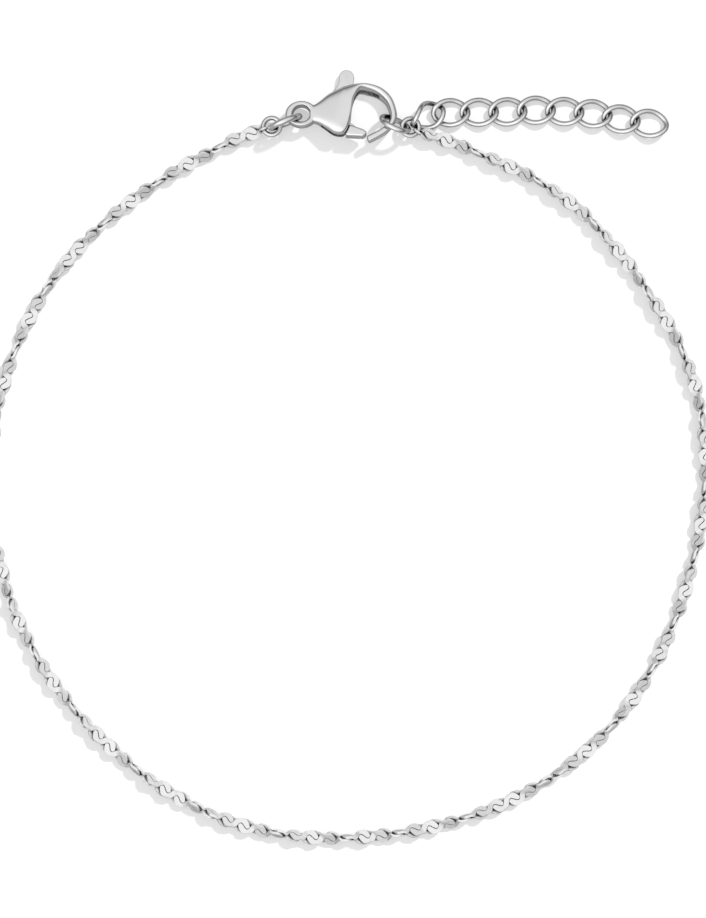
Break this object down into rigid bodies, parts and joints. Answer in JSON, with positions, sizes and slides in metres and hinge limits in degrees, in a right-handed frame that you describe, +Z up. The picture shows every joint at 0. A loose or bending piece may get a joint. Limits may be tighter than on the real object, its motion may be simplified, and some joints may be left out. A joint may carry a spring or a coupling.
{
  "type": "chain anklet",
  "caption": "Thin polished silver-coloured chain anklet of twisted S-shaped plates, closed by a lobster clasp, with a short curb-link extender, lying in a round loop.",
  "frame": {"origin": "middle of the bounding box's underside, on the surface the anklet lies on", "axes": "+Z up from the surface; the clasp lies at the +Y side of the loop and the extender runs from it towards +X"},
  "size_m": [0.0744, 0.0792, 0.0037],
  "materials": {
    "polished_steel": "polished silver-coloured metal, taken as stainless steel"
  },
  "bodies": {
    "anklet": {"serpentine_chain": "polished_steel", "clasp_jump_ring": "polished_steel", "chain_ring_left": "polished_steel", "hook_jump_ring": "polished_steel", "chain_ring_right": "polished_steel", "clasp_body": "polished_steel", "clasp_pin": "polished_steel", "extender_link_1": "polished_steel", "extender_link_2": "polished_steel", "extender_link_3": "polished_steel", "extender_link_4": "polished_steel", "extender_link_5": "polished_steel", "extender_link_6": "polished_steel", "extender_link_7": "polished_steel", "extender_link_8": "polished_steel", "extender_link_9": "polished_steel"},
    "lever": {"clasp_lever": "polished_steel"}
  },
  "joints": [
    {"name": "lever_hinge", "type": "hinge", "parent": "anklet", "child": "lever", "pos_m": [-0.00084, 0.03702, 0.00086], "axis": [0, 0.2079, 0.9781], "range_deg": [0, 18], "stiffness_Nm_per_rad": 0.002, "springref_deg": -22.92}
  ]
}
